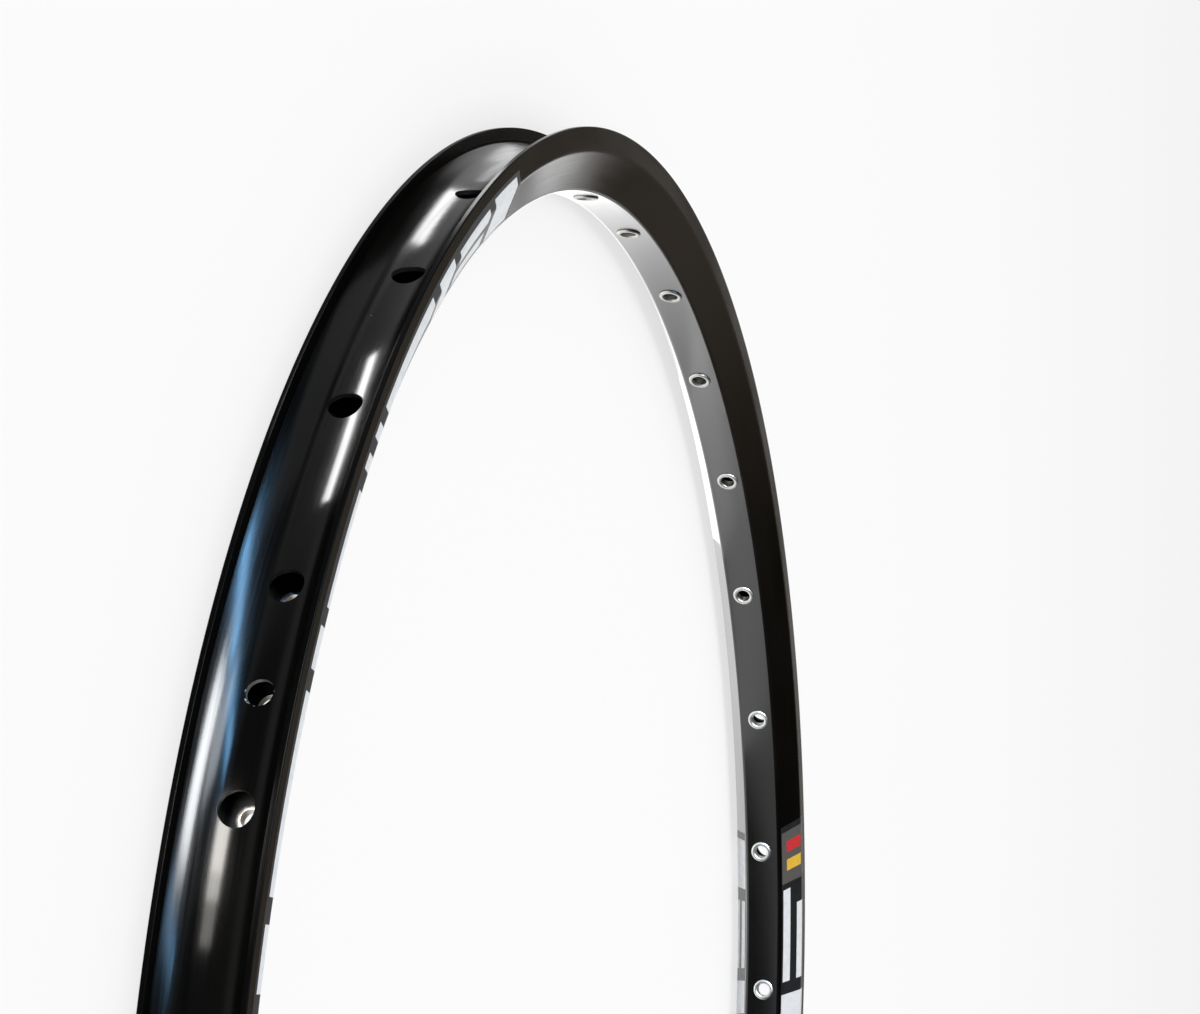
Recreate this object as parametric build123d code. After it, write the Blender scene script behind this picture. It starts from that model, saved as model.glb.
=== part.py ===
from build123d import *

import os
from math import asin, atan, cos, degrees, sqrt

# A double-wall bicycle rim for 26 inch wheels. It lies flat, with its axle line on Z and its middle at the origin.
# The hoop is one aluminium extrusion, rolled round and joined at a seam by a sleeve pressed into its chamber.
# Each spoke hole holds a pressed steel eyelet. All sizes are in millimetres, and angles are in degrees.

# Tyre side of the section
bead_seat_d = 559.0             # diameter that the tyre's beads seat on
flange_height = 6.0             # flange top above the bead seat
rim_width = 24.7                # over both flanges
lip_thickness = 1.5             # hooked lip, measured across the rim
lip_height = 3.5                # hooked lip, from the flange top down
hook_depth = 0.4                # undercut below the lip
lip_chamfer = 0.35              # broken edges of the lip
well_depth = 2.6                # tyre bed's middle below the bead seat

# Chamber side of the section
section_depth = 18.1            # flange top to the spoke face
upright_height = 6.85           # upright part of each side wall, above the crease
crease_round = 2.5              # radius of the crease between upright and sloping wall
spoke_face_width = 12.4         # across the spoke face, from corner to corner
spoke_face_round = 1.3          # radius between the spoke face and the sloping walls
bed_wall = 1.2                  # under the tyre bed
side_wall = 1.2                 # of the sloping sides
spoke_wall = 1.8                # behind the spoke face

# Drilling
spoke_count = 32
stagger = 0.5                   # spoke holes lie this far to either side of the middle in turn
access_hole_d = 8.6             # along the tyre bed's middle, for the nipple and its driver
valve_hole_d = 6.5              # through both walls
valve_angle = -90.0             # the seam is on the other side of the hoop

# Eyelets
eyelet_bore_d = 4.6
eyelet_wall = 0.55
eyelet_ring_d = 7.5             # ring that shows on the spoke face
eyelet_ring_height = 0.6        # crest of the ring above the spoke face
eyelet_mouth = 0.5              # depth from the crest to the straight bore
eyelet_flare_d = 7.2            # flared collar inside the chamber
eyelet_flare_height = 0.5
eyelet_clearance = 0.05         # round the barrel and under both collars

# Seam
seam_gap = 0.1
sleeve_wall = 1.4
sleeve_clearance = 0.1          # to the chamber's walls
sleeve_end_gap = 6.0            # from each end to the nearest eyelet's collar

# Worked out from the sizes above
rim_r = bead_seat_d / 2 + flange_height
bed_r = bead_seat_d / 2 - well_depth
spoke_face_r = rim_r - section_depth
chamber_floor_r = spoke_face_r + spoke_wall
crease_r = rim_r - upright_height
half_width = rim_width / 2
corner_z = spoke_face_width / 2
lip_z = half_width - lip_thickness
hook_z = lip_z + hook_depth
lip_root_r = rim_r - lip_height
hook_r = lip_root_r - hook_depth
spoke_step = 360 / spoke_count
barrel_r = eyelet_bore_d / 2 + eyelet_wall
flare_r = eyelet_flare_d / 2

# The tyre bed is one arc from hook to hook, through the bed's middle
bed_rise = hook_r - bed_r
bed_arc_r = (hook_z**2 + bed_rise**2) / (2 * bed_rise)
bed_arc_centre = bed_r + bed_arc_r


def hoop_section():
    """Outer outline of the extrusion, as (radius, height) on the XZ plane."""
    side = [
        (hook_r, hook_z),
        (lip_root_r, lip_z),
        (rim_r, lip_z),
        (rim_r, half_width),
        (crease_r, half_width),
        (spoke_face_r, corner_z),
    ]
    other_side = [(r, -z) for r, z in reversed(side)]
    with BuildSketch(Plane.XZ) as sketch:
        with BuildLine():
            Polyline(*side, *other_side)
            ThreePointArc(side[0], (bed_r, 0), other_side[-1])
        make_face()
        chamfer(sketch.vertices().group_by(Axis.X)[-1], lip_chamfer)
        fillet(sketch.vertices().filter_by_position(Axis.X, crease_r - 0.01, crease_r + 0.01), crease_round)
        fillet(sketch.vertices().group_by(Axis.X)[0], spoke_face_round)
    return sketch.sketch


def chamber_section(clearance=0.0):
    """Hollow of the extrusion, or what fits it with a clearance, as (radius, height) on the XZ plane."""
    slope = (half_width - corner_z) / (crease_r - spoke_face_r)
    wall_z = (side_wall + clearance) / cos(atan(slope))
    floor_r = chamber_floor_r + clearance
    floor_z = corner_z + slope * (floor_r - spoke_face_r) - wall_z
    upper_z = half_width - wall_z
    outline = [
        (floor_r, -floor_z),
        (crease_r, -upper_z),
        (hook_r, -upper_z),
        (hook_r, upper_z),
        (crease_r, upper_z),
        (floor_r, floor_z),
    ]
    with BuildSketch(Plane.XZ) as sketch:
        with BuildLine():
            Polyline(*outline, close=True)
        make_face()
        with Locations((bed_arc_centre, 0)):
            Circle(bed_arc_r + bed_wall + clearance, mode=Mode.SUBTRACT)
    return sketch.sketch


def radial_drill(diameter, from_r, to_r, angle, height=0.0):
    """A drill along a radius of the wheel."""
    drill = Rot(Y=90) * Cylinder(diameter / 2, to_r - from_r)
    return Rot(Z=angle) * Pos((from_r + to_r) / 2, 0, height) * drill


def spoke_places():
    """Angle and height of every spoke hole, with the valve hole midway between two of them."""
    places = []
    for index in range(spoke_count):
        side = 1 if index % 2 == 0 else -1
        places.append((valve_angle + (index + 0.5) * spoke_step, side * stagger))
    return places


def rim_hoop():
    """The rolled extrusion with its drilling and its seam."""
    hoop = revolve(hoop_section(), Axis.Z) - revolve(chamber_section(), Axis.Z)
    chamber_mid_r = (chamber_floor_r + bed_r - bed_wall) / 2
    inside_r = spoke_face_r - spoke_wall
    spoke_hole_d = 2 * (barrel_r + eyelet_clearance)
    cuts = [radial_drill(valve_hole_d, inside_r, rim_r, valve_angle)]
    for angle, height in spoke_places():
        cuts.append(radial_drill(access_hole_d, chamber_mid_r, rim_r, angle))
        cuts.append(radial_drill(spoke_hole_d, inside_r, chamber_mid_r, angle, height))
    seam = Pos(rim_r - section_depth / 2, 0, 0) * Box(2 * section_depth, seam_gap, 2 * rim_width)
    cuts.append(Rot(Z=valve_angle + 180) * seam)
    return hoop - cuts


def eyelet():
    """One eyelet on the X axis: ring on the spoke face, barrel, and collar in the chamber."""
    bore_r = eyelet_bore_d / 2
    ring_r = eyelet_ring_d / 2
    crest_r = (bore_r + ring_r) / 2
    ring_seat = sqrt(spoke_face_r**2 - ring_r**2) - eyelet_clearance
    crest = ring_seat - eyelet_ring_height
    flare_seat = chamber_floor_r + eyelet_clearance
    outline = [
        (crest + eyelet_mouth, bore_r),
        (crest, crest_r),
        (ring_seat, ring_r),
        (ring_seat, barrel_r),
        (flare_seat, barrel_r),
        (flare_seat, flare_r),
        (flare_seat + eyelet_flare_height, bore_r),
    ]
    with BuildSketch(Plane.XY) as sketch:
        with BuildLine():
            Polyline(*outline, close=True)
        make_face()
    return revolve(sketch.sketch, Axis.X)


def joint_sleeve():
    """Hollow sleeve that fills the chamber across the seam."""
    outside = chamber_section(sleeve_clearance)
    inside = chamber_section(sleeve_clearance + sleeve_wall)
    half_arc = spoke_step / 2 - degrees(asin((flare_r + sleeve_end_gap) / chamber_floor_r))
    sleeve = revolve(outside, Axis.Z, 2 * half_arc) - revolve(inside, Axis.Z, 2 * half_arc)
    return Rot(Z=valve_angle + 180 - half_arc) * sleeve


os.makedirs("parts", exist_ok=True)
export_step(rim_hoop(), "parts/rim_hoop.step")
export_step(joint_sleeve(), "parts/joint_sleeve.step")
for number, (angle, height) in enumerate(spoke_places(), start=1):
    placed = Rot(Z=angle) * Pos(0, 0, height) * eyelet()
    export_step(placed, f"parts/eyelet_{number:02d}.step")
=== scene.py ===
"""Looks of a double-wall bicycle rim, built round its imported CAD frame.

Sizes are in millimetres, as in the part's source, and meshes are in metres. The rim lies flat, with its
axle line on Z and its valve hole towards -Y. A section point is (radius from the axle line, height).
"""

import logging
import math
from collections.abc import Iterable, Sequence
from dataclasses import dataclass, field
from enum import Enum

import bmesh
import bpy
from mathutils import Matrix, Vector

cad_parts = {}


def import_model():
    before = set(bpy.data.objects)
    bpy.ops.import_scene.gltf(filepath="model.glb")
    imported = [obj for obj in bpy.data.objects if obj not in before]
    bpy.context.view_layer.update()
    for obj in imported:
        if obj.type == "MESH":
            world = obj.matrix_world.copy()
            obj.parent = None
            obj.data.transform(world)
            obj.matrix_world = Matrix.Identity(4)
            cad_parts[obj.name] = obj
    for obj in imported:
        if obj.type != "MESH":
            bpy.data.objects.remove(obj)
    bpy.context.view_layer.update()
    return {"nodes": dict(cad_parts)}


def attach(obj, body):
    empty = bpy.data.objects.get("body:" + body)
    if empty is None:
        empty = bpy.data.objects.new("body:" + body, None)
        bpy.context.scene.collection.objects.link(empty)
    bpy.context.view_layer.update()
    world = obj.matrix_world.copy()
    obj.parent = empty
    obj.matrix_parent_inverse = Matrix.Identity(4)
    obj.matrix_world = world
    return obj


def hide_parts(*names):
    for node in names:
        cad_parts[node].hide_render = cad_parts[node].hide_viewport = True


Colour = tuple[float, float, float]
SectionPoint = tuple[float, float]
Triple = tuple[float, float, float]

MM = 0.001
BODY = "root"

log = logging.getLogger("bicycle_rim")


class HoopZone(Enum):
    """Parts of the hoop that have a finish of their own; the value is the material slot's index."""

    TYRE_BED = 0
    SIDE_WALL = 1
    SPOKE_FACE = 2
    CHAMBER = 3
    VALVE_BORE = 4
    LIP = 5


class Ink(Enum):
    """Colours of the side print, as linear values."""

    WHITE = (0.80, 0.83, 0.86)
    GREY = (0.105, 0.10, 0.095)
    RED = (0.62, 0.025, 0.03)
    YELLOW = (0.80, 0.50, 0.04)


class LampRole(Enum):
    """What a lamp is seen by."""

    FILL = "matt surfaces only"
    GLINT = "glossy surfaces only"
    HOOP_GLINT = "the hoop's glossy surfaces only"


def clear_selection() -> None:
    """Leave edit mode and deselect every object."""
    if bpy.context.mode != "OBJECT":
        bpy.ops.object.mode_set(mode="OBJECT")
    bpy.ops.object.select_all(action="DESELECT")


def activate(piece: bpy.types.Object) -> None:
    """Make one object the only selected one, and the active one.

    Args:
        piece: The object.
    """
    clear_selection()
    piece.select_set(True)
    bpy.context.view_layer.objects.active = piece


def edit_all(piece: bpy.types.Object) -> None:
    """Open an object in edit mode with its whole mesh selected.

    Args:
        piece: The object.
    """
    activate(piece)
    bpy.ops.object.mode_set(mode="EDIT")
    bpy.ops.mesh.select_all(action="SELECT")


def apply_modifiers(piece: bpy.types.Object) -> None:
    """Apply an object's modifiers in their order.

    Args:
        piece: The object.
    """
    activate(piece)
    for modifier in list(piece.modifiers):
        bpy.ops.object.modifier_apply(modifier=modifier.name)


def join(pieces: Sequence[bpy.types.Object], name: str) -> bpy.types.Object:
    """Join objects into one.

    Args:
        pieces: The objects, of which the first one keeps its place.
        name: Name of the joined object.

    Returns:
        The joined object.
    """
    clear_selection()
    for piece in pieces:
        piece.select_set(True)
    bpy.context.view_layer.objects.active = pieces[0]
    if len(pieces) > 1:
        bpy.ops.object.join()
    pieces[0].name = name
    return pieces[0]


def trace(name: str, points: Sequence[SectionPoint], closed: bool) -> bpy.types.Object:
    """Draw a section line on the XZ plane by extruding one vertex from point to point.

    Args:
        name: Name of the new object.
        points: Section points in order.
        closed: Whether the line runs back to its first point.

    Returns:
        An object of edges only, at the origin.
    """
    route = [*points, points[0]] if closed else list(points)
    clear_selection()
    first = (route[0][0] * MM, 0.0, route[0][1] * MM)
    bpy.ops.mesh.primitive_plane_add(size=MM, location=first)
    piece = bpy.context.object
    piece.name = name
    bpy.ops.object.transform_apply(location=True, rotation=True, scale=True)
    edit_all(piece)
    bpy.ops.mesh.merge(type="CENTER")
    for start, end in zip(route, route[1:]):
        step = ((end[0] - start[0]) * MM, 0.0, (end[1] - start[1]) * MM)
        bpy.ops.mesh.extrude_region_move(TRANSFORM_OT_translate={"value": step})
    bpy.ops.mesh.select_all(action="SELECT")
    bpy.ops.mesh.remove_doubles(threshold=0.002 * MM)
    bpy.ops.object.mode_set(mode="OBJECT")
    return piece


def round_corners(
    piece: bpy.types.Object, corners: Sequence[SectionPoint], size: float, steps: int
) -> None:
    """Round corners of a closed section line.

    Args:
        piece: The traced line.
        corners: Section points of the corners.
        size: Distance from each corner to where its rounding starts.
        steps: Number of edges in each rounding.
    """
    edit_all(piece)
    bpy.ops.mesh.edge_face_add()
    bpy.ops.mesh.select_all(action="DESELECT")
    mesh = bmesh.from_edit_mesh(piece.data)
    for vertex in mesh.verts:
        place = (vertex.co.x / MM, vertex.co.z / MM)
        vertex.select_set(any(math.dist(place, corner) < 0.02 for corner in corners))
    mesh.select_flush_mode()
    bmesh.update_edit_mesh(piece.data)
    bpy.ops.mesh.bevel(offset=size * MM, segments=steps, profile=0.5, affect="VERTICES")
    bpy.ops.mesh.select_all(action="SELECT")
    bpy.ops.mesh.delete(type="ONLY_FACE")
    bpy.ops.object.mode_set(mode="OBJECT")


def spin(piece: bpy.types.Object, axis: Triple, sweep: float, steps: int) -> None:
    """Spin a traced line about an axis through the origin, merge its seam and set its faces outwards.

    Args:
        piece: The traced line, which becomes the spun mesh.
        axis: Direction of the axis.
        sweep: Angle in degrees.
        steps: Number of faces along the sweep.
    """
    edit_all(piece)
    bpy.ops.mesh.spin(steps=steps, angle=-math.radians(sweep), center=(0.0, 0.0, 0.0), axis=axis)
    bpy.ops.mesh.select_all(action="SELECT")
    bpy.ops.mesh.remove_doubles(threshold=0.002 * MM)
    bpy.ops.mesh.normals_make_consistent(inside=False)
    bpy.ops.object.mode_set(mode="OBJECT")


def arc(
    centre: SectionPoint, radii: SectionPoint, start: float, end: float, steps: int
) -> list[SectionPoint]:
    """Points on an arc of a circle or an ellipse.

    Args:
        centre: Centre of the arc.
        radii: Half axes along radius and along height.
        start: First angle in degrees.
        end: Last angle in degrees.
        steps: Number of edges.

    Returns:
        The points, both ends included.
    """
    angles = [math.radians(start + (end - start) * i / steps) for i in range(steps + 1)]
    return [(centre[0] + radii[0] * math.cos(a), centre[1] + radii[1] * math.sin(a)) for a in angles]


class NodeBench:
    """Adds nodes to one material or world and joins them up."""

    def __init__(self, tree: bpy.types.NodeTree) -> None:
        """Start from an empty node tree."""
        tree.nodes.clear()
        self.tree = tree

    def add(self, kind: str, inputs: dict | None = None, **settings: object) -> bpy.types.Node:
        """Add one node.

        Args:
            kind: The node's type name.
            inputs: Values or sockets for its inputs, by name or number.
            settings: Properties of the node.

        Returns:
            The new node.
        """
        node = self.tree.nodes.new(kind)
        for name, value in settings.items():
            setattr(node, name, value)
        for name, value in (inputs or {}).items():
            self.feed(node.inputs[name], value)
        return node

    def feed(self, socket: bpy.types.NodeSocket, value: object) -> None:
        """Set an input to a plain value, or link another node's output to it.

        Args:
            socket: The input.
            value: A plain value, or another node's output.
        """
        if isinstance(value, bpy.types.NodeSocket):
            self.tree.links.new(value, socket)
        else:
            socket.default_value = value

    def math(self, operation: str, first: object, second: object = 0.0) -> bpy.types.NodeSocket:
        """Output of one Math node."""
        return self.add("ShaderNodeMath", {0: first, 1: second}, operation=operation).outputs[0]

    def length(self, first: object, second: object) -> bpy.types.NodeSocket:
        """Length of a flat vector.

        Args:
            first: Its first part, a number or a socket.
            second: Its second part.

        Returns:
            Socket of the length.
        """
        squares = self.math("ADD", self.math("MULTIPLY", first, first), self.math("MULTIPLY", second, second))
        return self.math("SQRT", squares)

    def bump(self, height: object, strength: float, distance: float) -> bpy.types.NodeSocket:
        """Relief of a surface.

        Args:
            height: Socket of the relief's pattern.
            strength: Share of the relief that shows.
            distance: Height of the relief in metres.

        Returns:
            Socket of the bent normal.
        """
        inputs = {"Strength": strength, "Distance": distance, "Height": height}
        return self.add("ShaderNodeBump", inputs).outputs[0]

    def ramp(
        self, value: object, low: float, high: float, to_low: float, to_high: float
    ) -> bpy.types.NodeSocket:
        """Output of a Map Range node that runs smoothly from one range to another."""
        limits = {0: value, 1: low, 2: high, 3: to_low, 4: to_high}
        return self.add("ShaderNodeMapRange", limits, interpolation_type="SMOOTHSTEP").outputs[0]

    def blend(self, share: object, first: object, second: object) -> bpy.types.NodeSocket:
        """Output of a colour Mix node.

        Args:
            share: Share of the second colour.
            first: First colour, or its socket.
            second: Second colour, or its socket.

        Returns:
            Socket of the mixed colour.
        """
        node = self.add("ShaderNodeMix", data_type="RGBA")
        for number, value in ((0, share), (6, first), (7, second)):
            self.feed(node.inputs[number], value)
        return node.outputs[2]

    def noise(self, vector: object, scale: float, detail: float = 2.0) -> bpy.types.NodeSocket:
        """Output of a Noise Texture node."""
        inputs = {"Vector": vector, "Scale": scale, "Detail": detail}
        return self.add("ShaderNodeTexNoise", inputs).outputs[0]

    def place(self) -> bpy.types.Node:
        """Separate XYZ node of the Object coordinates."""
        coordinates = self.add("ShaderNodeTexCoord").outputs["Object"]
        return self.add("ShaderNodeSeparateXYZ", {0: coordinates})

    def lengthwise(self, place: bpy.types.Node, along: float, across: float) -> bpy.types.NodeSocket:
        """Coordinates that follow the hoop round.

        Args:
            place: Separate XYZ node of the Object coordinates.
            along: Scale round the hoop, per radian.
            across: Scale across the section, per metre.

        Returns:
            A vector of the angle, the radius and the height, each times its scale.
        """
        x, y, z = place.outputs
        angle = self.math("MULTIPLY", self.math("ARCTAN2", y, x), along)
        radius = self.math("MULTIPLY", self.length(x, y), across)
        height = self.math("MULTIPLY", z, across)
        return self.add("ShaderNodeCombineXYZ", {0: angle, 1: radius, 2: height}).outputs[0]


def new_material(name: str) -> tuple[bpy.types.Material, NodeBench]:
    """Make a material and the bench for its nodes.

    Args:
        name: Name of the material.

    Returns:
        The material and its bench.
    """
    material = bpy.data.materials.new(name)
    material.use_nodes = True
    return material, NodeBench(material.node_tree)


def opaque(colour: Colour) -> tuple[float, float, float, float]:
    """A colour with full alpha."""
    return (*colour, 1.0)


@dataclass(frozen=True)
class AnodisedFinish:
    """Black anodised aluminium that keeps the fine lengthwise lines of its extrusion."""

    name: str
    colour: Colour = (0.0030, 0.0030, 0.0028)
    worn_colour: Colour = (0.0052, 0.0051, 0.0047)
    roughness: float = 0.17
    ior: float = 1.5
    line_relief: float = 0.025
    line_gloss: float = 0.012
    speck_share: float = 0.0
    valve_chips: bool = False

    def material(self) -> bpy.types.Material:
        """Make the material.

        Returns:
            The new material.
        """
        material, bench = new_material(self.name)
        place = bench.place()
        lines = bench.noise(bench.lengthwise(place, 7.0, 2600.0), 1.0, 3.0)
        cloud = bench.noise(bench.lengthwise(place, 6.0, 60.0), 1.0, 2.0)
        wear = bench.ramp(cloud, 0.35, 0.7, 0.0, 1.0)
        colour = bench.blend(wear, opaque(self.colour), opaque(self.worn_colour))
        roughness = bench.math(
            "ADD",
            bench.ramp(lines, 0.3, 0.7, -self.line_gloss, self.line_gloss),
            bench.ramp(cloud, 0.3, 0.7, -0.02, 0.03),
        )
        roughness = bench.math("ADD", roughness, self.roughness)
        metal = None
        if self.speck_share > 0.0:
            speck = self.specks(bench, place)
            colour = bench.blend(speck, colour, opaque((0.45, 0.45, 0.44)))
            roughness = bench.math("ADD", roughness, bench.math("MULTIPLY", speck, 0.2))
        if self.valve_chips:
            metal = self.chips(bench, place)
            colour = bench.blend(metal, colour, opaque((0.62, 0.61, 0.59)))
        relief = bench.bump(lines, self.line_relief, 0.012 * MM)
        shader = bench.add(
            "ShaderNodeBsdfPrincipled",
            {
                "Base Color": colour,
                "Roughness": roughness,
                "IOR": self.ior,
                "Normal": relief,
            },
        )
        if metal is not None:
            bench.feed(shader.inputs["Metallic"], metal)
        bench.add("ShaderNodeOutputMaterial", {"Surface": shader.outputs[0]})
        return material

    def specks(self, bench: NodeBench, place: bpy.types.Node) -> bpy.types.NodeSocket:
        """Mask of small handling specks, strewn over the surface.

        Args:
            bench: Bench of the material.
            place: Separate XYZ node of the Object coordinates.

        Returns:
            Socket of the mask.
        """
        point = bench.add("ShaderNodeCombineXYZ", dict(enumerate(place.outputs))).outputs[0]
        cells = bench.add("ShaderNodeTexVoronoi", {"Vector": point, "Scale": 150.0})
        cell_value = bench.add("ShaderNodeSeparateColor", {0: cells.outputs[1]}).outputs[0]
        chosen = bench.math("LESS_THAN", cell_value, self.speck_share)
        return bench.math("MULTIPLY", chosen, bench.ramp(cells.outputs[0], 0.018, 0.04, 1.0, 0.0))

    def chips(self, bench: NodeBench, place: bpy.types.Node) -> bpy.types.NodeSocket:
        """Mask of bare metal where the drill broke the finish round the valve hole.

        Args:
            bench: Bench of the material.
            place: Separate XYZ node of the Object coordinates.

        Returns:
            Socket of the mask.
        """
        x, y, z = place.outputs
        across = bench.length(x, z)
        point = bench.add("ShaderNodeCombineXYZ", dict(enumerate(place.outputs))).outputs[0]
        flakes = bench.noise(point, 900.0, 2.0)
        reach = bench.math("ADD", across, bench.ramp(flakes, 0.5, 0.72, 0.4 * MM, -0.4 * MM))
        near = bench.math("LESS_THAN", reach, 3.32 * MM)
        outside = bench.math("LESS_THAN", y, -276.0 * MM)
        return bench.math("MULTIPLY", near, outside)


@dataclass(frozen=True)
class SteelFinish:
    """Pressed and plated steel, with fine drawing marks."""

    name: str = "eyelet_steel"
    colour: Colour = (0.66, 0.65, 0.62)
    dull_colour: Colour = (0.42, 0.41, 0.39)
    roughness: float = 0.40

    def material(self) -> bpy.types.Material:
        """Make the material.

        Returns:
            The new material.
        """
        material, bench = new_material(self.name)
        point = bench.add("ShaderNodeTexCoord").outputs["Object"]
        stain = bench.noise(point, 700.0, 3.0)
        marks = bench.noise(point, 4200.0, 2.0)
        relief = bench.bump(marks, 0.06, 0.01 * MM)
        roughness = bench.math("ADD", bench.ramp(stain, 0.35, 0.75, -0.05, 0.12), self.roughness)
        shader = bench.add(
            "ShaderNodeBsdfPrincipled",
            {
                "Base Color": bench.blend(
                    bench.ramp(stain, 0.5, 0.8, 0.0, 0.8), opaque(self.colour), opaque(self.dull_colour)
                ),
                "Metallic": 1.0,
                "Roughness": roughness,
                "Normal": relief,
            },
        )
        bench.add("ShaderNodeOutputMaterial", {"Surface": shader.outputs[0]})
        return material


@dataclass(frozen=True)
class MillFinish:
    """Bare aluminium as it leaves the extrusion press."""

    name: str = "mill_aluminium"
    colour: Colour = (0.70, 0.70, 0.69)
    dull_colour: Colour = (0.50, 0.50, 0.50)
    roughness: float = 0.42

    def material(self) -> bpy.types.Material:
        """Make the material.

        Returns:
            The new material.
        """
        material, bench = new_material(self.name)
        lines = bench.noise(bench.lengthwise(bench.place(), 5.0, 1800.0), 1.0, 3.0)
        relief = bench.bump(lines, 0.3, 0.02 * MM)
        shader = bench.add(
            "ShaderNodeBsdfPrincipled",
            {
                "Base Color": bench.blend(lines, opaque(self.colour), opaque(self.dull_colour)),
                "Metallic": 1.0,
                "Roughness": bench.math("ADD", bench.ramp(lines, 0.3, 0.7, -0.06, 0.06), self.roughness),
                "Normal": relief,
            },
        )
        bench.add("ShaderNodeOutputMaterial", {"Surface": shader.outputs[0]})
        return material


@dataclass(frozen=True)
class PrintFinish:
    """One colour of screen print, or the clear film that carries it."""

    name: str
    colour: Colour
    roughness: float = 0.34
    sheen: float = 0.0

    def material(self) -> bpy.types.Material:
        """Make the material.

        Returns:
            The new material.
        """
        material, bench = new_material(self.name)
        point = bench.add("ShaderNodeTexCoord").outputs["Object"]
        mottle = bench.noise(point, 420.0, 2.0)
        peel = bench.noise(point, 1500.0, 2.0)
        thin = tuple(0.9 * value for value in self.colour)
        relief = bench.bump(peel, 0.12, 0.02 * MM)
        shader = bench.add(
            "ShaderNodeBsdfPrincipled",
            {
                "Base Color": bench.blend(
                    bench.ramp(mottle, 0.4, 0.75, 0.0, 1.0), opaque(self.colour), opaque(thin)
                ),
                "Roughness": bench.math("ADD", bench.ramp(mottle, 0.3, 0.7, -0.04, 0.05), self.roughness),
                "IOR": 1.45,
                "Sheen Weight": self.sheen,
                "Sheen Roughness": 0.3,
                "Normal": relief,
            },
        )
        bench.add("ShaderNodeOutputMaterial", {"Surface": shader.outputs[0]})
        return material


@dataclass(frozen=True)
class RimSection:
    """Sizes of the extrusion's section."""

    rim_r: float = 285.46
    half_width: float = 12.31
    lip_z: float = 10.85
    lip_root_r: float = 282.0
    hook_r: float = 281.6
    hook_z: float = 11.25
    lip_round: float = 0.35
    lip_inner_round: float = 0.2
    crease_r: float = 278.65
    crease_round: float = 2.5
    crease_steps: int = 6
    bed_r: float = 276.9
    bed_steps: int = 22
    bed_wall: float = 1.2
    spoke_face_r: float = 267.4
    corner_z: float = 6.2
    corner_round: float = 0.77
    side_wall: float = 1.2
    spoke_wall: float = 1.8

    @property
    def bed_arc_r(self) -> float:
        """Radius of the tyre bed's arc."""
        rise = self.hook_r - self.bed_r
        return (self.hook_z**2 + rise**2) / (2 * rise)

    @property
    def bed_centre_r(self) -> float:
        """Radius at which the tyre bed's arc has its centre."""
        return self.bed_r + self.bed_arc_r

    @property
    def slope(self) -> float:
        """Rise of the sloping wall for each millimetre of radius."""
        return (self.half_width - self.corner_z) / (self.crease_r - self.spoke_face_r)

    @property
    def steepness(self) -> float:
        """Angle of the sloping wall to the wheel's plane, in radians."""
        return math.atan(self.slope)

    @property
    def bend_r(self) -> float:
        """Radius at which the side wall starts to bend inwards."""
        return self.crease_r + self.crease_round * math.tan(self.steepness / 2)

    @property
    def bend(self) -> float:
        """Length of the bend along the wall."""
        return self.crease_round * self.steepness

    def wall_point(self, run: float, lift: float = 0.0) -> SectionPoint:
        """A point on the upper side wall, or above it.

        Args:
            run: Distance along the wall, inwards from the start of the bend.
            lift: Distance above the wall.

        Returns:
            The section point.
        """
        turn = min(max(run / self.crease_round, 0.0), self.steepness)
        beyond = run - turn * self.crease_round
        reach = self.crease_round + lift
        return (
            self.bend_r - reach * math.sin(turn) - beyond * math.cos(turn),
            self.half_width - self.crease_round + reach * math.cos(turn) - beyond * math.sin(turn),
        )

    def wall_z(self, radius: float) -> float:
        """Height of the upper side wall at a radius, with the crease taken as sharp."""
        return min(self.half_width, self.corner_z + self.slope * (radius - self.spoke_face_r))

    def outline(self) -> list[SectionPoint]:
        """Outer line of the section, once round, with sharp corners.

        Returns:
            Section points of the line.
        """
        half_angle = math.degrees(math.asin(self.hook_z / self.bed_arc_r))
        bed = arc((self.bed_centre_r, 0.0), (self.bed_arc_r,) * 2, 180, 180 - half_angle, self.bed_steps)
        bend = [self.wall_point(self.bend * i / self.crease_steps) for i in range(self.crease_steps + 1)]
        upper = [
            *bed,
            (self.lip_root_r, self.lip_z),
            (self.rim_r, self.lip_z),
            (self.rim_r, self.half_width),
            *bend,
            (self.spoke_face_r, self.corner_z),
        ]
        lower = [(radius, -height) for radius, height in reversed(upper[1:])]
        return [*upper, (self.spoke_face_r, 2.0), (self.spoke_face_r, -2.0), *lower]

    def both(self, radius: float, height: float) -> list[SectionPoint]:
        """A section point and its mirror image below."""
        return [(radius, height), (radius, -height)]

    def hollow(self) -> list[SectionPoint]:
        """Line of the chamber, once round.

        Returns:
            Section points of the line.
        """
        wall = self.side_wall / math.cos(self.steepness)
        floor_r = self.spoke_face_r + self.spoke_wall
        floor_z = self.corner_z + self.slope * self.spoke_wall - wall
        upper_z = self.half_width - wall
        roof_r = self.bed_arc_r + self.bed_wall
        half_angle = math.degrees(math.asin(upper_z / roof_r))
        roof = arc((self.bed_centre_r, 0.0), (roof_r, roof_r), 180 + half_angle, 180 - half_angle, 24)
        walls = [(self.crease_r, upper_z), (floor_r, floor_z), (floor_r, -floor_z), (self.crease_r, -upper_z)]
        return [*roof, *walls]


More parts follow.
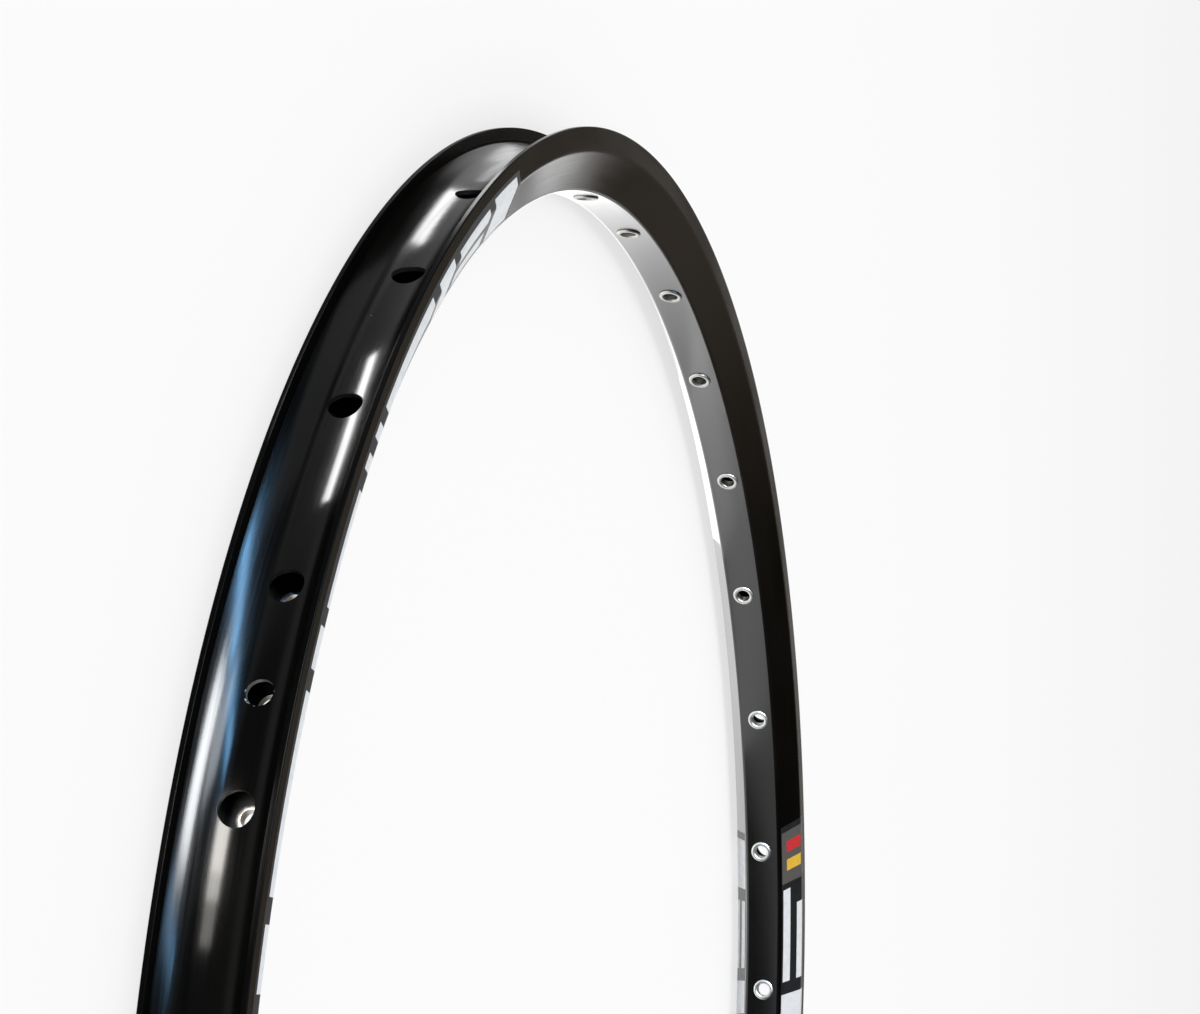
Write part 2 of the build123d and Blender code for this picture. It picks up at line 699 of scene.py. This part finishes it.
@dataclass(frozen=True)
class SpokeLayout:
    """Places of the spoke holes round the hoop."""

    count: int = 32
    stagger: float = 0.5
    valve_angle: float = -90.0

    def places(self) -> list[tuple[float, float]]:
        """Places of the spoke holes, with the valve hole midway between two of them.

        Returns:
            Angle in degrees and height of each spoke hole.
        """
        step = 360.0 / self.count
        heights = [self.stagger if index % 2 == 0 else -self.stagger for index in range(self.count)]
        return [(self.valve_angle + (index + 0.5) * step, heights[index]) for index in range(self.count)]


@dataclass
class HoopShell:
    """The rolled extrusion with its chamber, drilling and seam."""

    section: RimSection = field(default_factory=RimSection)
    spokes: SpokeLayout = field(default_factory=SpokeLayout)
    steps: int = 384
    access_hole_d: float = 8.6
    spoke_hole_d: float = 5.8
    valve_hole_d: float = 6.5
    chamber_mid_r: float = 272.45
    inside_r: float = 265.6
    seam_gap: float = 0.1
    bed: AnodisedFinish = AnodisedFinish(
        "black_anodise_tyre_bed",
        roughness=0.15,
        ior=1.25,
        line_relief=0.18,
        line_gloss=0.03,
        speck_share=0.10,
        valve_chips=True,
    )
    wall: AnodisedFinish = AnodisedFinish(
        "black_anodise_side_wall", (0.0014, 0.0012, 0.0009), (0.0026, 0.0023, 0.0018), line_relief=0.008
    )
    face: AnodisedFinish = AnodisedFinish("black_anodise_spoke_face", roughness=0.21)
    lip: AnodisedFinish = AnodisedFinish("black_anodise_lip", ior=1.09, roughness=0.25)
    inside: AnodisedFinish = AnodisedFinish("black_anodise_chamber", ior=1.3, roughness=0.5)
    valve_bore: MillFinish = MillFinish("drilled_aluminium", (0.45, 0.45, 0.44), (0.22, 0.22, 0.21))

    def build(self) -> bpy.types.Object:
        """Model the hoop.

        Returns:
            The finished hoop.
        """
        section = self.section
        hoop = trace("rim_hoop_dressed", section.outline(), closed=True)
        round_corners(hoop, section.both(section.rim_r, section.half_width), section.lip_round, 4)
        round_corners(hoop, section.both(section.rim_r, section.lip_z), section.lip_inner_round, 4)
        round_corners(hoop, section.both(section.lip_root_r, section.lip_z), 0.15, 2)
        round_corners(hoop, section.both(section.spoke_face_r, section.corner_z), section.corner_round, 6)
        spin(hoop, (0.0, 0.0, 1.0), 360.0, self.steps)
        hollow = trace("chamber", section.hollow(), closed=True)
        spin(hollow, (0.0, 0.0, 1.0), 360.0, self.steps)
        edit_all(hollow)
        bpy.ops.mesh.flip_normals()
        clear_selection()
        hoop = join([hoop, hollow], "rim_hoop_dressed")
        self.drill(hoop)
        return hoop

    def drill(self, hoop: bpy.types.Object) -> None:
        """Cut the holes and the seam out of the hoop.

        Args:
            hoop: The spun hoop with its chamber.
        """
        rim_r = self.section.rim_r
        spoke_end_r = self.chamber_mid_r - 0.2
        tools = [self.radial_tool(self.valve_hole_d, self.inside_r, rim_r, self.spokes.valve_angle, 0.0)]
        for angle, height in self.spokes.places():
            tools.append(self.radial_tool(self.access_hole_d, self.chamber_mid_r, rim_r, angle, 0.0))
            tools.append(self.radial_tool(self.spoke_hole_d, self.inside_r, spoke_end_r, angle, height))
        tools.append(self.seam_tool())
        cutter = join(tools, "drilling")
        cut = hoop.modifiers.new("drilling", "BOOLEAN")
        cut.operation = "DIFFERENCE"
        cut.solver = "EXACT"
        cut.object = cutter
        apply_modifiers(hoop)
        bpy.data.objects.remove(cutter)

    def radial_tool(
        self, diameter: float, from_r: float, to_r: float, angle: float, height: float
    ) -> bpy.types.Object:
        """A drill along a radius of the wheel.

        Args:
            diameter: Of the drill.
            from_r: Radius at which it starts.
            to_r: Radius at which it ends.
            angle: Angle round the wheel in degrees.
            height: Height above the middle plane.

        Returns:
            The drill as an object in its place.
        """
        turn = math.radians(angle)
        middle = (from_r + to_r) / 2 * MM
        bpy.ops.mesh.primitive_cylinder_add(
            vertices=48,
            radius=diameter / 2 * MM,
            depth=(to_r - from_r) * MM,
            location=(middle * math.cos(turn), middle * math.sin(turn), height * MM),
            rotation=(0.0, math.pi / 2, turn),
        )
        bpy.ops.object.transform_apply(location=True, rotation=True, scale=True)
        return bpy.context.object

    def seam_tool(self) -> bpy.types.Object:
        """A thin block that parts the hoop opposite the valve hole.

        Returns:
            The block as an object in its place.
        """
        turn = math.radians(self.spokes.valve_angle + 180.0)
        middle = (self.section.rim_r + self.section.spoke_face_r) / 2 * MM
        bpy.ops.mesh.primitive_cube_add(
            size=MM,
            location=(middle * math.cos(turn), middle * math.sin(turn), 0.0),
            rotation=(0.0, 0.0, turn),
            scale=(30.0, self.seam_gap, 40.0),
        )
        bpy.ops.object.transform_apply(location=True, rotation=True, scale=True)
        return bpy.context.object

    def zone(self, face: bpy.types.MeshPolygon) -> HoopZone:
        """The zone that a face of the finished hoop lies in.

        Args:
            face: The face.

        Returns:
            Its zone.
        """
        section = self.section
        radius = math.hypot(face.center.x, face.center.y) / MM
        height = face.center.z / MM
        to_bed = abs(math.hypot(radius - section.bed_centre_r, height) - section.bed_arc_r)
        outward = (face.normal.x * face.center.x + face.normal.y * face.center.y) / (radius * MM)
        to_valve = math.hypot(face.center.x, face.center.z) / MM
        if to_valve < self.valve_hole_d / 2 + 0.02 and face.center.y < 0.0 and abs(outward) < 0.3:
            return HoopZone.VALVE_BORE
        if to_bed < 0.05 and outward > 0.6 and abs(height) < section.hook_z:
            return HoopZone.TYRE_BED
        if radius < section.spoke_face_r + 0.6 and outward < -0.6:
            return HoopZone.SPOKE_FACE
        if radius > section.lip_root_r and (outward > 0.2 or abs(height) < section.lip_z + 0.05):
            return HoopZone.LIP
        if radius > section.hook_r - 0.2 or abs(height) > section.wall_z(radius) - 0.3:
            return HoopZone.SIDE_WALL
        return HoopZone.CHAMBER

    def dress(self, hoop: bpy.types.Object) -> None:
        """Give each zone its finish and smooth the rolled faces.

        Args:
            hoop: The drilled hoop.
        """
        for finish in (self.bed, self.wall, self.face, self.inside, self.valve_bore, self.lip):
            hoop.data.materials.append(finish.material())
        for face in hoop.data.polygons:
            face.material_index = self.zone(face).value
        activate(hoop)
        bpy.ops.object.shade_smooth_by_angle(angle=math.radians(38.0))
        even = hoop.modifiers.new("even_shading", "WEIGHTED_NORMAL")
        even.keep_sharp = True
        apply_modifiers(hoop)


@dataclass
class EyeletSet:
    """Pressed eyelets, one in each spoke hole."""

    spokes: SpokeLayout = field(default_factory=SpokeLayout)
    bore_r: float = 2.3
    barrel_r: float = 2.85
    crest_r: float = 3.025
    ring_r: float = 3.75
    flare_r: float = 3.6
    crest: float = 266.724
    mouth: float = 0.5
    ring_seat: float = 267.324
    flare_seat: float = 269.25
    flare_height: float = 0.5
    steps: int = 48
    finish: SteelFinish = SteelFinish()

    def outline(self) -> list[SectionPoint]:
        """Section of an eyelet that lies along X: distance from the axle line, and from its own axis.

        Returns:
            Section points, once round.
        """
        mouth = self.crest + self.mouth
        inner = arc((mouth, self.crest_r), (self.mouth, self.crest_r - self.bore_r), 270, 180, 7)
        outer_radii = (self.ring_seat - self.crest, self.ring_r - self.crest_r)
        outer = arc((self.ring_seat, self.crest_r), outer_radii, 180, 90, 8)
        flare_end = self.flare_seat + self.flare_height
        flare = arc((self.flare_seat, self.bore_r), (self.flare_height, self.flare_r - self.bore_r), 90, 0, 6)
        return [
            *inner,
            *outer[1:],
            (self.ring_seat, self.barrel_r),
            (self.flare_seat, self.barrel_r),
            *flare[:-1],
            (flare_end, self.bore_r),
        ]

    def build(self) -> list[bpy.types.Object]:
        """Model one eyelet and set a copy of it in each spoke hole.

        Returns:
            The eyelets, in the order of the spoke holes.
        """
        pattern = trace("eyelet_pattern", self.outline(), closed=True)
        spin(pattern, (1.0, 0.0, 0.0), 360.0, self.steps)
        activate(pattern)
        bpy.ops.object.shade_smooth_by_angle(angle=math.radians(42.0))
        pattern.data.materials.append(self.finish.material())
        eyelets = []
        for number, (angle, height) in enumerate(self.spokes.places(), start=1):
            activate(pattern)
            bpy.ops.object.duplicate()
            eyelet = bpy.context.object
            eyelet.name = f"eyelet_{number:02d}_dressed"
            eyelet.location.z = height * MM
            eyelet.rotation_euler.z = math.radians(angle)
            bpy.ops.object.transform_apply(location=True, rotation=True, scale=True)
            eyelets.append(eyelet)
        bpy.data.objects.remove(pattern)
        return eyelets


@dataclass(frozen=True)
class PrintField:
    """One slanted field of the side print: angles from the print's start, and shares of its height."""

    start: float
    length: float
    ink: Ink = Ink.WHITE
    top: float = 0.0
    foot: float = 1.0
    layer: int = 1


@dataclass
class SidePrint:
    """Plain slanted fields of colour on a clear film, twice round each side wall."""

    section: RimSection = field(default_factory=RimSection)
    starts: tuple[float, float] = (131.5, -48.5)
    span: float = 82.0
    top_run: float = -1.8
    foot_run: float = 11.5
    slant: float = 9.0
    film_thickness: float = 0.014
    film_colour: Colour = (0.005, 0.0048, 0.0044)
    fields: tuple[PrintField, ...] = (
        PrintField(0.5, 4.2, Ink.GREY, -0.04, 1.0),
        PrintField(1.3, 0.9, Ink.RED, 0.2, 0.8, 2),
        PrintField(2.8, 0.9, Ink.YELLOW, 0.2, 0.8, 2),
        PrintField(5.2, 7.4, top=0.66, foot=0.96),
        PrintField(6.6, 6.0, top=0.10, foot=0.38),
        PrintField(13.6, 2.0),
        PrintField(16.6, 1.0),
        PrintField(18.6, 8.0, top=0.06, foot=0.40),
        PrintField(18.6, 8.0, top=0.60, foot=0.94),
        PrintField(27.8, 3.0),
        PrintField(32.0, 9.5, top=0.0, foot=0.56),
        PrintField(42.6, 2.2),
        PrintField(45.8, 6.6, top=0.06, foot=0.40),
        PrintField(45.8, 6.6, top=0.60, foot=0.94),
        PrintField(53.6, 1.0),
        PrintField(55.6, 1.0),
        PrintField(57.6, 8.6, top=0.0, foot=0.56),
        PrintField(67.4, 2.6),
        PrintField(71.0, 5.4, top=0.06, foot=0.40),
        PrintField(71.0, 5.4, top=0.60, foot=0.94),
        PrintField(77.4, 4.0),
    )

    def wall_line(self, top: float, foot: float, lift: float) -> list[SectionPoint]:
        """Section line of the wall under the print, from the upright wall over the crease and down the slope.

        Args:
            top: Share of the print's height at which the line starts.
            foot: Share at which it ends.
            lift: Distance above the wall.

        Returns:
            Section points of the line.
        """
        height = self.foot_run - self.top_run
        first = self.top_run + top * height
        last = self.top_run + foot * height
        crease_steps = self.section.crease_steps
        bend = [self.section.bend * i / crease_steps for i in range(crease_steps + 1)]
        runs = [first, *(run for run in bend if first < run < last), last]
        return [self.section.wall_point(run, lift) for run in runs]

    def patch(self, name: str, print_field: PrintField, print_start: float, lift: float) -> bpy.types.Object:
        """Model one field as a thin sheet on the wall.

        Args:
            name: Name of the new object.
            print_field: The field.
            print_start: Angle in degrees at which the print starts; it runs clockwise from there.
            lift: Distance of the sheet's underside above the wall.

        Returns:
            The sheet in its place.
        """
        margin = 3.0
        sheet = trace(name, self.wall_line(print_field.top, print_field.foot, lift), closed=False)
        sweep = print_field.length + 2 * margin
        spin(sheet, (0.0, 0.0, 1.0), sweep, max(8, round(sweep / 0.6)))
        middle_r = self.section.wall_point((self.top_run + self.foot_run) / 2)[0] * MM
        for turn, side in ((margin, "start"), (margin + print_field.length, "end")):
            edit_all(sheet)
            along = math.radians(turn)
            across = math.radians(turn + 90.0 + self.slant)
            bpy.ops.mesh.bisect(
                plane_co=(middle_r * math.cos(along), middle_r * math.sin(along), 0.0),
                plane_no=(math.cos(across), math.sin(across), 0.0),
                clear_inner=side == "start",
                clear_outer=side == "end",
            )
        self.face_up(sheet)
        sheet.rotation_euler.z = math.radians(print_start - print_field.start - print_field.length - margin)
        activate(sheet)
        bpy.ops.object.transform_apply(location=True, rotation=True, scale=True)
        thick = sheet.modifiers.new("thickness", "SOLIDIFY")
        thick.thickness = self.film_thickness * MM
        thick.offset = 1.0
        apply_modifiers(sheet)
        return sheet

    def face_up(self, sheet: bpy.types.Object) -> None:
        """Turn a sheet's faces up, away from the wall.

        Args:
            sheet: The sheet, open in edit mode.
        """
        bpy.ops.object.mode_set(mode="OBJECT")
        if sum(face.normal.z * face.area for face in sheet.data.polygons) < 0.0:
            edit_all(sheet)
            bpy.ops.mesh.flip_normals()
            bpy.ops.object.mode_set(mode="OBJECT")

    def build(self) -> list[bpy.types.Object]:
        """Model the film and the fields of each colour.

        Returns:
            The film, then one object for each colour.
        """
        film_field = PrintField(0.0, self.span, top=-0.085, foot=1.025)
        films = [self.patch("film", film_field, start, 0.002) for start in self.starts]
        film_finish = PrintFinish("print_film", self.film_colour, 0.5, 0.6)
        pieces = [self.finish(self.on_both_walls(films, "print_film"), film_finish)]
        for ink in Ink:
            sheets = []
            for start in self.starts:
                for print_field in self.fields:
                    if print_field.ink is ink:
                        lift = 0.002 + print_field.layer * (self.film_thickness + 0.001)
                        sheets.append(self.patch("field", print_field, start, lift))
            name = f"print_{ink.name.lower()}"
            pieces.append(self.finish(self.on_both_walls(sheets, name), PrintFinish(name, ink.value)))
        return pieces

    def on_both_walls(self, sheets: list[bpy.types.Object], name: str) -> bpy.types.Object:
        """Join the upper wall's sheets, and add a copy that is turned over on to the lower wall.

        Args:
            sheets: Sheets of one colour on the upper wall.
            name: Name of the joined object.

        Returns:
            The sheets of both walls in one object.
        """
        upper = join(sheets, name)
        activate(upper)
        bpy.ops.object.duplicate()
        lower = bpy.context.object
        lower.rotation_euler.y = math.pi
        bpy.ops.object.transform_apply(location=True, rotation=True, scale=True)
        return join([upper, lower], name)

    def finish(self, piece: bpy.types.Object, finish: PrintFinish) -> bpy.types.Object:
        """Dress one piece of the print and smooth it.

        Args:
            piece: The piece.
            finish: Its finish.

        Returns:
            The same piece.
        """
        piece.data.materials.append(finish.material())
        activate(piece)
        bpy.ops.object.shade_smooth_by_angle(angle=math.radians(15.0))
        return piece


@dataclass(frozen=True)
class Lamp:
    """One flat lamp, given by the two ends of its middle line; it shines straight up or towards a target."""

    name: str
    start: Triple
    end: Triple
    breadth: float
    radiance: float
    target: Triple | None = None
    colour: Colour = (1.0, 1.0, 1.0)
    role: LampRole = LampRole.GLINT

    def build(self, hoop_only: bpy.types.Collection) -> bpy.types.Object:
        """Add the lamp to the scene.

        Args:
            hoop_only: Collection of what a lamp for the hoop alone shines on.

        Returns:
            The lamp.
        """
        start = Vector(self.start) * MM
        end = Vector(self.end) * MM
        place = (start + end) / 2
        along = (end - start).normalized()
        back = Vector((0.0, 0.0, -1.0)) if self.target is None else place - Vector(self.target) * MM
        back = (back - along * back.dot(along)).normalized()
        data = bpy.data.lights.new(self.name, "AREA")
        data.shape = "RECTANGLE"
        data.size = (end - start).length
        data.size_y = self.breadth * MM
        data.energy = 4.0 * data.size * data.size_y * self.radiance
        data.color = self.colour
        lamp = bpy.data.objects.new(self.name, data)
        bpy.context.scene.collection.objects.link(lamp)
        turn = Matrix((along, back.cross(along), back)).transposed().to_4x4()
        lamp.matrix_world = Matrix.Translation(place) @ turn
        lamp.visible_camera = False
        lamp.visible_diffuse = self.role is LampRole.FILL
        lamp.visible_glossy = self.role is not LampRole.FILL
        if self.role is LampRole.HOOP_GLINT:
            lamp.light_linking.receiver_collection = hoop_only
        return lamp


def toward(azimuth: float, elevation: float, distance: float, start: Triple) -> Triple:
    """The point at a distance from another one, in a given direction.

    Args:
        azimuth: Direction in the floor's plane, in degrees from X.
        elevation: Angle above the floor's plane, in degrees.
        distance: From the first point.
        start: The first point.

    Returns:
        The point.
    """
    turn = math.radians(azimuth)
    rise = math.radians(elevation)
    reach = distance * math.cos(rise)
    return (
        start[0] + reach * math.cos(turn),
        start[1] + reach * math.sin(turn),
        start[2] + distance * math.sin(rise),
    )


@dataclass
class Studio:
    """Pale floor, soft lamps, surroundings and the camera."""

    floor_z: float = -12.35
    camera_place: Triple = (270.792, -853.125, 255.240)
    camera_right: Triple = (-0.15004, 0.22669, 0.96234)
    camera_up: Triple = (-0.87196, -0.48913, -0.02073)
    lens: float = 93.43
    lens_shift: tuple[float, float] = (-0.0004, 0.0004)
    near_limb: Triple = (-60.0, -270.0, 0.0)

    def lamps(self) -> list[Lamp]:
        """The lamps: softboxes and window strips high up, and low strips that lie on the floor.

        Returns:
            All the lamps.
        """
        middle = (0.0, 0.0, 0.0)
        limb = self.near_limb
        low = self.floor_z + 0.3
        window = (0.25, 0.585, 1.0)
        daylight = (0.94, 0.97, 1.0)
        pale_sky = (0.85, 0.92, 1.0)
        rear_bed = (0.0, -215.0, -10.4)
        glint = LampRole.HOOP_GLINT
        return [
            Lamp(
                "overhead_softbox",
                (-800.0, 0.0, 2400.0),
                (800.0, 0.0, 2400.0),
                1600.0,
                2.6,
                middle,
                role=LampRole.FILL,
            ),
            Lamp(
                "side_softbox", self.away(-120.5, 38.0), self.away(-96.8, 46.0), 720.0, 72.0, limb, daylight
            ),
            Lamp("side_panel", self.away(-114.5, 26.0), self.away(-102.0, 24.0), 700.0, 21.0, limb, pale_sky),
            Lamp("window_strip", self.away(-149.0, 46.0), self.away(-119.0, 27.0), 230.0, 58.0, limb, window),
            Lamp("window_foot", self.away(-118.5, 26.0), self.away(-103.5, 4.5), 230.0, 38.0, limb, window),
            Lamp("window_edge", self.away(-97.0, 60.0), self.away(-82.0, 37.0), 190.0, 21.0, limb, window),
            Lamp("rear_panel", self.away(-178.0, 17.0), self.away(-138.0, 17.0), 1200.0, 0.55, limb),
            Lamp("horizon_panel", self.away(104.0, 3.6), self.away(127.0, 3.6), 350.0, 0.4, limb),
            Lamp("low_strip_side", (-125.0, -265.3, low), (-67.0, -282.0, low), 4.0, 33.0),
            Lamp("low_card_rear", (-236.0, -197.0, -10.4), (-236.0, -234.0, -10.4), 3.8, 9.5, rear_bed),
            Lamp("low_panel_rear", (-275.0, -130.0, low), (-240.0, -162.0, low), 22.0, 1.1),
            Lamp("low_panel_rear_edge", (-241.0, -160.5, low), (-221.0, -188.5, low), 5.0, 1.1),
            Lamp("low_panel_inside", (-150.0, -120.0, low), (-150.0, 115.0, low), 250.0, 1.1, role=glint),
            Lamp("low_panel_far", (-199.0, 26.0, low), (-133.0, 149.0, low), 120.0, 1.0, role=glint),
            *self.front_cards(),
            *self.rear_strips(),
        ]

    def front_cards(self) -> list[Lamp]:
        """Cards in a row on the floor in front of the near limb, each dimmer than the one before.

        Returns:
            The cards, from the brightest to the dimmest.
        """
        row = ((19.0, 39.0, 47.0), (39.0, 47.0, 30.0), (47.0, 60.0, 10.0))
        cream = (1.0, 0.97, 0.92)
        return [
            Lamp(f"front_card_{n}", (x, -309.0, -6.4), (end, -309.0, -6.4), 9.5, level, (x, 0.0, -6.4), cream)
            for n, (x, end, level) in enumerate(row, start=1)
        ]

    def rear_strips(self) -> list[Lamp]:
        """Strips side by side on the floor behind the near limb, their near ends on a circle round the rim.

        Returns:
            The strips, from the dimmest to the brightest.
        """
        low = self.floor_z + 0.3
        count = 9
        breadth = 4.1
        circle_r = 298.0
        far_x = -236.0
        strips: list[Lamp] = []
        for index in range(count):
            y = -199.0 - index * breadth
            near_x = -math.sqrt(circle_r**2 - y**2)
            level = 7.0 + 6.0 * (index / (count - 1)) ** 2
            strip = Lamp(f"rear_strip_{index + 1}", (near_x, y, low), (far_x, y, low), breadth, level)
            strips.append(strip)
        return strips

    def away(self, azimuth: float, elevation: float) -> Triple:
        """The point three metres from the near limb in a given direction."""
        return toward(azimuth, elevation, 3000.0, self.near_limb)

    def build(self, hoop: bpy.types.Object) -> None:
        """Add the floor, the lamps, the surroundings and the camera.

        Args:
            hoop: The dressed hoop, which some of the lamps are for.
        """
        self.floor()
        hoop_only = bpy.data.collections.new("hoop_only")
        hoop_only.objects.link(hoop)
        for lamp in self.lamps():
            lamp.build(hoop_only)
        self.surroundings()
        self.camera()
        bpy.context.scene.view_settings.view_transform = "Standard"

    def seen_rays(self, bench: NodeBench) -> bpy.types.NodeSocket:
        """1 for camera, glossy and transmission rays, and 0 for others.

        Args:
            bench: Bench of the floor's material.

        Returns:
            Socket of the value.
        """
        rays = bench.add("ShaderNodeLightPath").outputs
        seen = bench.math("MAXIMUM", rays["Is Camera Ray"], rays["Is Glossy Ray"])
        return bench.math("MAXIMUM", seen, rays["Is Transmission Ray"])

    def floor(self) -> None:
        """A wide pale floor that keeps the rim's shadow for the camera; glossy rays see its level change
        round the rim, as a painted glow without the shadow.
        """
        clear_selection()
        bpy.ops.mesh.primitive_plane_add(size=40.0, location=(0.0, 0.0, self.floor_z * MM))
        floor = bpy.context.object
        floor.name = "studio_floor"
        material, bench = new_material("studio_floor")
        matt = bench.add("ShaderNodeBsdfDiffuse", {"Color": opaque((0.9, 0.9, 0.9))})
        x, y, _ = bench.place().outputs
        radius = bench.length(x, y)
        # Painted light for glossy rays: the floor glows brighter than white under the rim and dims to near
        # black in places beyond it.
        under_rim = bench.ramp(y, 0.05, 0.184, 1.4, 1.8)
        under_rim = bench.math("MULTIPLY", under_rim, bench.ramp(radius, 0.246, 0.258, 0.0, 1.0))
        inside = bench.math("MAXIMUM", bench.ramp(y, 0.164, 0.184, 1.0, 0.02), under_rim)
        outside = bench.math(
            "ADD",
            bench.ramp(x, -0.07, -0.01, 0.6, 0.15),
            bench.ramp(x, -0.25, -0.21, 0.45, 0.0),
        )
        outside = bench.math("MAXIMUM", outside, bench.ramp(radius, 0.289, 0.293, 0.6, 0.0))
        mirrored = bench.math(
            "ADD",
            bench.math("MULTIPLY", inside, bench.ramp(radius, 0.278, 0.285, 1.0, 0.0)),
            bench.math("MULTIPLY", outside, bench.ramp(radius, 0.278, 0.285, 0.0, 1.0)),
        )
        rays = bench.add("ShaderNodeLightPath").outputs
        mirrored = bench.math("MULTIPLY", mirrored, rays["Is Glossy Ray"])
        level = bench.math("MAXIMUM", mirrored, bench.math("SUBTRACT", 1.0, rays["Is Glossy Ray"]))
        bright = bench.add("ShaderNodeEmission", {"Color": opaque((1.0, 1.0, 1.0)), "Strength": level})
        share = bench.math("MULTIPLY", self.seen_rays(bench), 0.7)
        share = bench.math("MAXIMUM", share, rays["Is Glossy Ray"])
        mixed = bench.add("ShaderNodeMixShader", {0: share, 1: matt.outputs[0], 2: bright.outputs[0]})
        bench.add("ShaderNodeOutputMaterial", {"Surface": mixed.outputs[0]})
        floor.data.materials.append(material)

    def surroundings(self) -> None:
        """A white horizon under a dim studio, and plain soft light for matt surfaces."""
        world = bpy.data.worlds.new("studio_surroundings")
        world.use_nodes = True
        bpy.context.scene.world = world
        bench = NodeBench(world.node_tree)
        rays = bench.add("ShaderNodeLightPath").outputs
        _, side, height = bench.add(
            "ShaderNodeSeparateXYZ", {0: bench.add("ShaderNodeTexCoord").outputs["Generated"]}
        ).outputs
        studio = bench.ramp(height, 0.12, 0.19, 1.0, 0.08)
        studio = bench.math("ADD", studio, bench.ramp(height, 0.28, 0.46, 0.0, 0.13))
        studio = bench.math("ADD", studio, bench.ramp(height, 0.55, 0.82, 0.0, -0.18))
        studio = bench.math("MULTIPLY", studio, bench.ramp(side, 0.27, 0.42, 0.12, 1.0))
        matt = bench.math("MULTIPLY", rays["Is Diffuse Ray"], 0.60)
        shown = bench.math("MAXIMUM", rays["Is Glossy Ray"], rays["Is Transmission Ray"])
        level = bench.math("MAXIMUM", matt, bench.math("MULTIPLY", shown, studio))
        level = bench.math("MAXIMUM", level, rays["Is Camera Ray"])
        warmth = bench.math("MULTIPLY", rays["Is Glossy Ray"], bench.ramp(height, 0.12, 0.19, 0.0, 1.0))
        colour = bench.blend(warmth, opaque((1.0, 1.0, 1.0)), opaque((1.0, 0.84, 0.66)))
        light = bench.add("ShaderNodeBackground", {"Color": colour, "Strength": level})
        bench.add("ShaderNodeOutputWorld", {"Surface": light.outputs[0]})

    def camera(self) -> None:
        """The camera at the photograph's viewpoint."""
        data = bpy.data.cameras.new("camera")
        data.sensor_width = 36.0
        data.lens = self.lens
        data.shift_x, data.shift_y = self.lens_shift
        data.clip_start = 0.02
        data.clip_end = 100.0
        camera = bpy.data.objects.new("camera", data)
        bpy.context.scene.collection.objects.link(camera)
        right = Vector(self.camera_right).normalized()
        back = right.cross(Vector(self.camera_up)).normalized()
        up = back.cross(right)
        place = Vector(self.camera_place) * MM
        turn = Matrix((right, up, back)).transposed().to_4x4()
        camera.matrix_world = Matrix.Translation(place) @ turn
        bpy.context.scene.camera = camera


def corners(box: Iterable[Vector]) -> list[list[float]]:
    """A box's two corners as plain lists of numbers."""
    return [[round(value, 6) for value in corner] for corner in box]


def main() -> None:
    """Load the CAD frame, build and dress each piece, and set up the studio."""
    logging.basicConfig(level=logging.INFO, format="%(name)s: %(message)s")
    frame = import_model()

    shell = HoopShell()
    hoop = shell.build()
    shell.dress(hoop)
    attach(hoop, BODY)
    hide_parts("rim_hoop")
    log.info("hoop: %d faces", len(hoop.data.polygons))

    for number, eyelet in enumerate(EyeletSet().build(), start=1):
        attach(eyelet, BODY)
        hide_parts(f"eyelet_{number:02d}")
    log.info("eyelets: %d pieces", number)

    sleeve = frame["nodes"]["joint_sleeve"]
    sleeve.data.materials.clear()
    sleeve.data.materials.append(MillFinish().material())
    log.info("joint sleeve: dressed")

    for piece in SidePrint().build():
        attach(piece, BODY)
        log.info("%s: %d faces", piece.name, len(piece.data.polygons))

    Studio().build(hoop)
    clear_selection()


if __name__ == "__main__":
    main()
